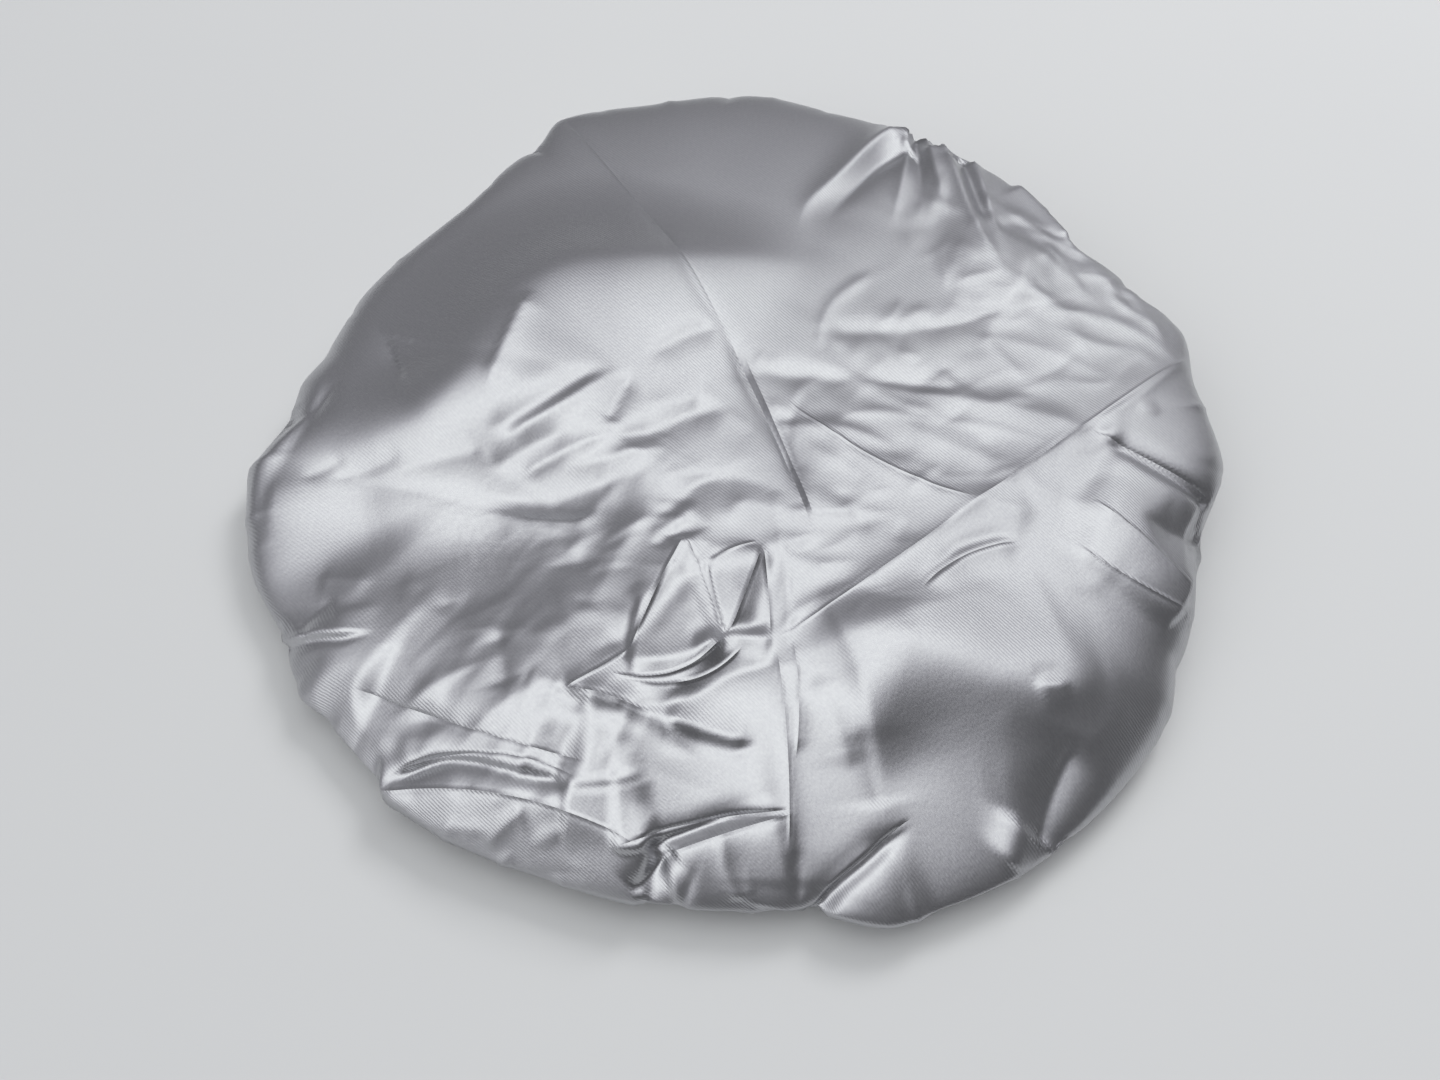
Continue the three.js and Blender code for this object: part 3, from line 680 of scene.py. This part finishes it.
def settle(thing, material, node):
    # gives a piece its material, hangs it from the root body and hides the CAD node it stands for
    thing.data.materials.append(material)
    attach(thing, "root")
    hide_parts(node)


class Value:
    # a socket whose arithmetic adds Math nodes

    def __init__(self, nodes, socket):
        self.nodes = nodes
        self.socket = socket

    def __add__(self, other):
        return self.nodes.math("ADD", self, other)

    def __radd__(self, other):
        return self.nodes.math("ADD", other, self)

    def __sub__(self, other):
        return self.nodes.math("SUBTRACT", self, other)

    def __rsub__(self, other):
        return self.nodes.math("SUBTRACT", other, self)

    def __mul__(self, other):
        return self.nodes.math("MULTIPLY", self, other)

    def __rmul__(self, other):
        return self.nodes.math("MULTIPLY", other, self)


class Nodes:
    # a node tree; add() makes any node from its type, its settings and its sockets' values or links

    def __init__(self, tree):
        self.tree = tree

    def add(self, kind, settings=None, inputs=None, output=0):
        node = self.tree.nodes.new(kind)
        for key, value in (settings or {}).items():
            setattr(node, key, value)
        for key, value in (inputs or {}).items():
            self.feed(node.inputs[key], value)
        return Value(self, node.outputs[output])

    def feed(self, socket, value):
        if isinstance(value, Value):
            self.tree.links.new(value.socket, socket)
        else:
            socket.default_value = value

    def math(self, operation, *values):
        return self.add("ShaderNodeMath", dict(operation=operation), dict(enumerate(values)))

    def cloth(self):
        return self.add("ShaderNodeUVMap", dict(uv_map="cloth"))

    def noise(self, vector, scale, detail=2.0):
        return self.add("ShaderNodeTexNoise", {}, {"Vector": vector, "Scale": scale, "Detail": detail})

    def bump(self, height, distance, strength=1.0, normal=None):
        inputs = {"Strength": strength, "Distance": distance, "Height": height}
        if normal is not None:
            inputs["Normal"] = normal
        return self.add("ShaderNodeBump", {}, inputs)

    def step(self, value, low, high, first, second):
        return self.add("ShaderNodeMapRange", dict(interpolation_type="SMOOTHSTEP"), {
            "Value": value, "From Min": low, "From Max": high, "To Min": first, "To Max": second})

    def dot(self, vector, direction):
        return self.add("ShaderNodeVectorMath", dict(operation="DOT_PRODUCT"), {
            0: vector, 1: (*direction, 0)[:3]}, output=1)

    def mixColors(self, factor, first, second):
        return self.add("ShaderNodeMix", dict(data_type="RGBA"), {
            "Factor": factor, 6: (*first, 1), 7: (*second, 1)}, output=2)


def newMaterial(name):
    material = bpy.data.materials.new(name)
    material.use_nodes = True
    return material, Nodes(material.node_tree)


def setSurface(material, nodes, inputs):
    surface = material.node_tree.nodes["Principled BSDF"]
    for key, value in inputs.items():
        nodes.feed(surface.inputs[key], value)
    return material


# satin shell

satinLook = {
    "grey": (0.505, 0.51, 0.52),
    "coolGrey": (0.405, 0.405, 0.43),
    "metallic": 0.88,
    "roughness": 0.31,
    "crinkleScale": 40.0,
    "crinkleRise": 0.75 * mm,
    "gridCount": 316,
    "seenShare": 0.90,         # share of the grid's rings on the seen side
    "seenLength": 0.203,
    "focus": (6 * mm, -38 * mm),  # the grid is finest towards this place
    "lowest": 0.6 * mm,        # cloth over the table
}
# the cloth's own texture, on shell and binding alike
weaveLook = {
    "patchScale": 14.0,
    "weaveScale": 480.0,       # about one thread line to a millimetre
    "grainScale": 750.0,
    "rise": 0.4 * mm,
    "strength": 0.22,
}


def creaseHeight(nodes, cloth, creases):
    # millimetres of a group of sharp creases: rise times (1 - distance / width)^2 off a parabola through the
    # three points, dying out at both ends
    total = 0.0
    for line in creases:
        start, middle, end = line["flat"]
        half = (end - start) / 2
        length = np.hypot(*half)
        along = half / length
        across = np.array([-along[1], along[0]])
        offset = middle - (start + end) / 2
        bend = offset @ across / (1 - (offset @ along / length) ** 2)
        peak = (start + end) / 2 + bend * across
        onward = nodes.dot(cloth, along / length) - peak @ along / length
        sideways = nodes.dot(cloth, across / mm) - peak @ across / mm
        square = onward * onward
        gap = nodes.math("ABSOLUTE", nodes.math("MULTIPLY_ADD", square, bend / mm, sideways))
        near = nodes.add("ShaderNodeMapRange", {}, {
            "Value": gap, "From Min": 0.0, "From Max": line["wide"], "To Min": 1.0, "To Max": 0.0})
        fade = nodes.step(square, 0.5, 1.0, line["rise"], 0.0)
        total = nodes.math("MULTIPLY_ADD", near * near, fade, total)
    return total


def pressedNormal(nodes, cloth, look):
    # the sharp creases, and fine crinkles that die out towards the smooth far left
    inner = nodes.bump(creaseHeight(nodes, cloth, sharpCreases["middle"]), mm)
    creases = nodes.bump(creaseHeight(nodes, cloth, sharpCreases["outer"]), mm, normal=inner)
    farLeft = nodes.dot(cloth, smoothSides[0][0])
    crinkle = nodes.add("ShaderNodeTexNoise", dict(noise_type="RIDGED_MULTIFRACTAL"), {
        "Vector": cloth, "Scale": look["crinkleScale"], "Detail": 1.0, "Distortion": 0.6})
    fading = crinkle * nodes.step(farLeft, -0.02, 0.08, 1.0, 0.15)
    return nodes.bump(fading, look["crinkleRise"], normal=creases)


def satinMaterial(name, look, creased=False):
    # brushed grey in two tones by patch and grain, over a diagonal weave
    material, nodes = newMaterial(name)
    cloth = nodes.cloth()
    patches = nodes.noise(cloth, weaveLook["patchScale"], 3.0)
    weave = nodes.add("ShaderNodeTexWave", dict(bands_direction="DIAGONAL"), {
        "Vector": cloth, "Scale": weaveLook["weaveScale"], "Distortion": 1.2, "Detail": 1.0})
    grain = nodes.noise(cloth, weaveLook["grainScale"])
    tint = nodes.mixColors(patches * 0.5 + (grain - 0.5) * 0.9 + 0.25, look["grey"], look["coolGrey"])
    pressed = pressedNormal(nodes, cloth, look) if creased else None
    threads = nodes.bump(weave * 0.5 + grain * 0.5, weaveLook["rise"], weaveLook["strength"], pressed)
    return setSurface(material, nodes, {
        "Base Color": tint, "Metallic": look["metallic"], "Normal": threads,
        "Roughness": look["roughness"] + (patches - 0.5) * 0.10})


def clothGrid(count, seenShare, seenLength, focus):
    # flat cloth points: rings of a round grid, most of them on the seen side, drawn towards the focus
    disc = discGrid(count)
    reach = np.hypot(disc[..., 0], disc[..., 1])
    length = np.interp(reach, [0, seenShare, 1], [0, seenLength, hemLength])
    flat = disc * (length / np.where(reach == 0, 1, reach))[..., None]
    pull = np.clip(1 - (length / seenLength) ** 2, 0, 1) ** 1.5
    return flat + pull[..., None] * np.array(focus)


def addSatin():
    # the whole disc of cloth on the cap, kept off the table
    look = satinLook
    flat = clothGrid(look["gridCount"], look["seenShare"], look["seenLength"], look["focus"])
    points = clothShape(flat.reshape(-1, 2)).reshape(*flat.shape[:2], 3)
    points[..., 2] = np.maximum(points[..., 2], look["lowest"])
    satin = gridObject("satin_shell", points, flat)
    settle(satin, satinMaterial("silver_satin", look, True), "outer_shell")
    return satin


satin = addSatin()
print("satin laid")


# lining film

liningLook = {
    "milk": (0.80, 0.81, 0.82),
    "haze": (0.74, 0.755, 0.77),
    "gridCount": 200,
    "seenShare": 0.72,
    "gap": 1.3 * mm,           # middle of the satin to the film
    "thickness": 0.3 * mm,
    "lowest": 1.6 * mm,
    "cloudScale": 25.0,
    "crinkleScale": 60.0,
    "crinkleRise": 0.6 * mm,
}


def addLining():
    # the same disc and folds, one gap further in
    look = liningLook
    flat = clothGrid(look["gridCount"], look["seenShare"], satinLook["seenLength"], (0, 0))
    points = clothShape(flat.reshape(-1, 2), look["gap"]).reshape(*flat.shape[:2], 3)
    points[..., 2] = np.maximum(points[..., 2], look["lowest"])
    lining = gridObject("lining_film", points, flat)
    wall = lining.modifiers.new("film", "SOLIDIFY")
    wall.thickness = look["thickness"]
    wall.offset = -1
    material, nodes = newMaterial("milky_film")
    cloth = nodes.cloth()
    clouds = nodes.noise(cloth, look["cloudScale"], 3.0)
    crinkle = nodes.add("ShaderNodeTexVoronoi", dict(feature="DISTANCE_TO_EDGE"), {
        "Vector": cloth, "Scale": look["crinkleScale"]})
    setSurface(material, nodes, {
        "Base Color": nodes.mixColors(clouds, look["milk"], look["haze"]),
        "Roughness": 0.34 + clouds * 0.12, "Normal": nodes.bump(crinkle, look["crinkleRise"], 0.25)})
    settle(lining, material, "waterproof_lining")
    return lining


lining = addLining()
print("lining laid")


# hem: casing, elastic, tack and lockstitch

casingLook = {
    "grey": (0.455, 0.46, 0.47),
    "coolGrey": (0.415, 0.415, 0.44),
    "metallic": 0.85,
    "roughness": 0.30,
    "thickness": 0.45 * mm,
    "steps": 1400,
    "pleats": 74,
    "drift": (2.2, 1.4),       # unevenness of the pleats, in radians of their waves
    "pleatRise": 0.55 * mm,
    "lowerLeaf": 0.35,         # share of the pleats' rise in the lower leaf
    "foldHeight": 2.3 * mm,    # between the two leaves
    "mouthRound": (74 * mm, 67 * mm),
    "mouthPuff": 1.26,         # pleats at the mouth, over their rise
    "weaveRadius": 95 * mm,    # cloth to a turn of one radian
    "cutLength": 0.55,
    "cutWidth": 36 * mm,
    # middle line of the folded strip, from the lower flange edge round the mouth to the upper one: radius and
    # height in millimetres
    "section": (
        (81.4, 1.45), (78.5, 1.42), (76.3, 1.2), (74.5, 0.62), (71.5, 0.42), (68.5, 0.45), (66.8, 0.95),
        (66.3, 2.3), (66.9, 3.75), (68.8, 4.3), (72.0, 4.45), (75.0, 4.25), (76.6, 4.12), (78.8, 4.12),
        (81.4, 4.15),
    ),
}


def addCasing():
    # the folded strip's section carried round the mouth, with uneven pleats that puff its leaves and its fold
    look = casingLook
    middle = smoothLine(np.array(look["section"]) * mm, 31)
    edge = np.gradient(middle, axis=0)
    out = np.stack([edge[:, 1], -edge[:, 0]], -1)
    out /= np.linalg.norm(out, axis=1, keepdims=True)
    half = look["thickness"] / 2
    section = np.vstack([middle + out * half, (middle - out * half)[::-1]])
    turn = np.linspace(0, 2 * np.pi, look["steps"], endpoint=False)
    first, second = look["drift"]
    phase = look["pleats"] * turn + first * np.sin(7 * turn) + second * np.sin(12 * turn + 1)
    wave = 0.5 + 0.5 * np.cos(phase)
    slow = 0.5 + 0.5 * np.sin(3 * phase / 7 + 0.6)
    radius, height = section[:, 0], section[:, 1]
    leaf = np.where(height > look["foldHeight"], 1.0, look["lowerLeaf"])
    mouth = smoothStep(*look["mouthRound"], radius) * look["mouthPuff"]
    puff = look["pleatRise"] * (wave * (0.6 + 0.8 * slow))[:, None]
    points = onCircle(radius + mouth * puff, turn[:, None], height + leaf * puff) + capAxis
    flat = np.stack(np.broadcast_arrays((turn * look["weaveRadius"])[:, None], lengthAlong(section)), -1)
    casing = gridObject("hem_binding", points[:, ::-1], flat[:, ::-1], wrapRows=True, wrapColumns=True)
    settle(casing, satinMaterial("binding_satin", look), "hem_casing")
    return casing


elasticLook = {
    "white": (0.86, 0.85, 0.82),
    "shade": (0.70, 0.69, 0.66),
    "radius": 70.9 * mm,
    "width": 7.8 * mm,
    "thickness": 0.8 * mm,
    "bottom": 0.95 * mm,
    "overlap": 14 * mm,
    "rise": 40 * mm,           # length over which the last end climbs onto the first
    "lift": 1.2 * mm,
    "cords": 9,
    "endTaper": 0.6 * mm,
    "threadScale": 320.0,
    "fuzzScale": 700.0,
}


def stripHeight(length):
    # height of the elastic's middle: level, then a smooth climb onto its own first end
    look = elasticLook
    climb = smoothStep(2 * np.pi * look["radius"] - look["rise"], 2 * np.pi * look["radius"], length)
    return look["bottom"] + look["thickness"] / 2 + look["lift"] * climb


def addElastic():
    # a flat section with a rib for each rubber cord, carried once round and over its own start
    look = elasticLook
    length = np.linspace(0, 2 * np.pi * look["radius"] + look["overlap"], 720)
    turn = length / look["radius"]
    share = np.linspace(-1, 1, 55)
    rib = look["thickness"] / 2 * (0.72 + 0.28 * np.abs(np.cos(np.pi * look["cords"] / 2 * share)))
    rib = rib * np.sqrt(np.clip(1 - np.abs(share) ** 12, 0.02, 1))
    across = np.concatenate([share, share[::-1]]) * look["width"] / 2
    upward = np.concatenate([-rib, rib[::-1]])
    taper = smoothStep(0, look["endTaper"], length) * smoothStep(0, look["endTaper"], length[-1] - length)
    ripple = 0.05 * mm * np.sin(length / (1.3 * mm))
    height = (stripHeight(length) + ripple)[:, None] + upward * (0.15 + 0.85 * taper)[:, None]
    points = onCircle(look["radius"] + across, turn[:, None], height)
    flat = np.stack(np.broadcast_arrays(length[:, None], across[None]), -1)
    elastic = gridObject("hem_elastic", points + capAxis, flat, wrapColumns=True)
    material, nodes = newMaterial("woven_elastic")
    cloth = nodes.cloth()
    threads = nodes.add("ShaderNodeTexWave", dict(bands_direction="X"), {
        "Vector": cloth, "Scale": look["threadScale"], "Distortion": 0.6})
    fuzz = nodes.noise(cloth, look["fuzzScale"])
    setSurface(material, nodes, {
        "Base Color": nodes.mixColors(threads * 0.5 + fuzz * 0.4, look["white"], look["shade"]),
        "Roughness": 0.75 + fuzz * 0.15, "Normal": nodes.bump(threads, 0.2 * mm, 0.5)})
    settle(elastic, material, "elastic_band")
    return elastic


threadLook = {
    "radius": 0.19 * mm,
    "sides": 8,
    "tip": 0.4 * mm,           # length of the rounded ends
    "tackWhite": ((0.88, 0.88, 0.86), (0.72, 0.72, 0.70)),
    "seamGrey": ((0.60, 0.61, 0.63), (0.47, 0.48, 0.50)),
    "twists": 260.0,           # ply lines to a metre, times about six
}


def threadMaterial(name, colors):
    material, nodes = newMaterial(name)
    plies = nodes.add("ShaderNodeTexWave", dict(bands_direction="DIAGONAL"), {
        "Vector": nodes.cloth(), "Scale": threadLook["twists"], "Distortion": 0.4})
    return setSurface(material, nodes, {
        "Base Color": nodes.mixColors(plies, *colors), "Roughness": 0.5 + plies * 0.15,
        "Normal": nodes.bump(plies, 0.1 * mm, 0.5)})


def addThread(name, path, colors, node):
    # a round section carried along the path, square to it, with rounded ends
    along = np.gradient(path, axis=0)
    along /= np.linalg.norm(along, axis=1, keepdims=True)
    upright = np.broadcast_to([0.0, 0.0, 1.0], path.shape)
    side = np.cross(along, upright)
    side /= np.linalg.norm(side, axis=1, keepdims=True)
    rise = np.cross(side, along)
    turn = np.linspace(0, 2 * np.pi, threadLook["sides"], endpoint=False)
    length = lengthAlong(path)
    taper = np.sqrt(np.clip(np.minimum(length, length[-1] - length) / threadLook["tip"], 0.02, 1))
    radius = (threadLook["radius"] * taper)[:, None, None]
    ring = np.cos(turn)[None, :, None] * side[:, None] + np.sin(turn)[None, :, None] * rise[:, None]
    points = path[:, None] + radius * ring
    flat = np.stack(np.broadcast_arrays(length[:, None], (turn * threadLook["radius"])[None]), -1)
    thread = gridObject(name, points[:, ::-1] + capAxis, flat[:, ::-1], wrapColumns=True)
    settle(thread, threadMaterial(name + "_ply", colors), node)


stitchLook = {
    "radius": 78.9 * mm,
    "count": 118,
    "steps": 12,               # points to a stitch
    "arch": 0.32 * mm,
    "dip": 0.35 * mm,
    "open": 0.0016,            # share of the round left open between the thread's ends
    "needleHeight": 5.2 * mm,
    "bobbinHeight": 0.95 * mm,
}


def stitchPath(height, direction):
    # lockstitch: each stitch arches off the cloth and dips into it at its holes
    look = stitchLook
    share = np.linspace(0, 1 - look["open"], look["count"] * look["steps"])
    turn = share * 2 * np.pi
    wave = np.abs(np.sin(np.pi * look["count"] * share)) ** 0.7
    level = height + direction * (look["arch"] * wave - look["dip"] * (1 - wave) ** 3)
    wander = look["radius"] + 0.08 * mm * np.sin(41 * turn) + 0.05 * mm * np.sin(17 * turn + 2)
    return onCircle(wander, turn, level)


tackLook = {"zigs": 11, "steps": 14, "margin": 1.4 * mm, "height": 3.45 * mm}


def tackPath():
    # zigzag from edge to edge over the elastic's joined ends
    look = tackLook
    swing = elasticLook["width"] / 2 - look["margin"]
    share = np.linspace(0, 1, look["zigs"] * look["steps"] + 1)
    length = look["margin"] + (elasticLook["overlap"] - 2 * look["margin"]) * share
    turn = length / elasticLook["radius"]
    zig = 2 / np.pi * np.arcsin(0.985 * np.cos(np.pi * look["zigs"] * share))
    radius = elasticLook["radius"] + swing * zig
    return onCircle(radius, turn, look["height"])


casing = addCasing()
elastic = addElastic()
addThread("elastic_tack", tackPath(), threadLook["tackWhite"], "elastic_join_tack")
addThread("hem_needle_thread", stitchPath(stitchLook["needleHeight"], 1), threadLook["seamGrey"],
          "casing_needle_thread")
addThread("hem_bobbin_thread", stitchPath(stitchLook["bobbinHeight"], -1), threadLook["seamGrey"],
          "casing_bobbin_thread")
print("hem sewn")


# table and light

tableLook = {"white": (0.53, 0.535, 0.535), "shade": (0.515, 0.52, 0.525), "size": 3.0}
lampLook = {"place": (0.7, 1.0, 1.3), "size": 0.6, "power": 14.0}
roomLook = {
    "low": 0.32,               # brightness low down
    "overhead": 1.86,
    "lowBlur": (-0.05, 0.32),  # heights of a unit direction between which it brightens
    # edges of the bright ceiling: direction square to each, where it is dim, where full, brightness past it
    "edges": (((0.40, -0.70, 0.59), -0.34, 0.50, 0.33), ((-0.64, 0.61, 0.47), -0.38, 0.42, 0.07),
              ((0.50, -0.55, 0.67), -0.54, -0.14, 0.18)),
    "nearFall": (0.55, 0.98, 0.85),   # past its first edge the ceiling dims here, to the last share
    "darkTint": (0.93, 0.92, 1.0),
    "brightTint": (0.98, 1.0, 0.995),
}


def addTable():
    # a plain white top
    look = tableLook
    side = np.linspace(-0.5, 0.5, 3) * look["size"]
    x, y = np.meshgrid(side, side, indexing="ij")
    table = gridObject("table_top", np.stack([x, y, np.zeros_like(x)], -1))
    material, nodes = newMaterial("table_white")
    place = nodes.add("ShaderNodeTexCoord", output=3)
    clouds = nodes.noise(place, 4.0)
    setSurface(material, nodes, {
        "Base Color": nodes.mixColors(clouds, look["white"], look["shade"]), "Roughness": 0.6})
    table.data.materials.append(material)


def addRoom():
    # a plain studio: dim low down and on the far wall, bright overhead
    look = roomLook
    world = bpy.data.worlds.new("studio")
    world.use_nodes = True
    scene.world = world
    nodes = Nodes(world.node_tree)
    direction = nodes.add("ShaderNodeTexCoord")
    upward = nodes.add("ShaderNodeSeparateXYZ", {}, {"Vector": direction}, output=2)
    strength = nodes.step(upward, *look["lowBlur"], look["low"], look["overhead"])
    edges = [nodes.dot(direction, Vector(square).normalized()) for square, dim, full, past in look["edges"]]
    start, end, share = look["nearFall"]
    strength = strength * nodes.step(edges[0], start, end, 1.0, share)
    for edge, (square, dim, full, past) in zip(edges, look["edges"]):
        strength = past + (strength - past) * nodes.step(edge, dim, full, 0.0, 1.0)
    background = world.node_tree.nodes["Background"]
    tint = nodes.step(strength, look["low"], look["overhead"], 0.0, 1.0)
    nodes.feed(background.inputs["Color"], nodes.mixColors(tint, look["darkTint"], look["brightTint"]))
    nodes.feed(background.inputs["Strength"], strength)


def addLamp():
    # one soft lamp that throws the shadow to the near left; the satin mirrors the room alone
    look = lampLook
    data = bpy.data.lights.new("soft_lamp", "AREA")
    data.size = look["size"]
    data.energy = look["power"]
    lamp = bpy.data.objects.new("soft_lamp", data)
    lamp.location = look["place"]
    lamp.rotation_euler = (-Vector(look["place"])).to_track_quat("-Z", "Y").to_euler()
    lamp.visible_glossy = False
    scene.collection.objects.link(lamp)


addTable()
addRoom()
addLamp()
print("table and light set")
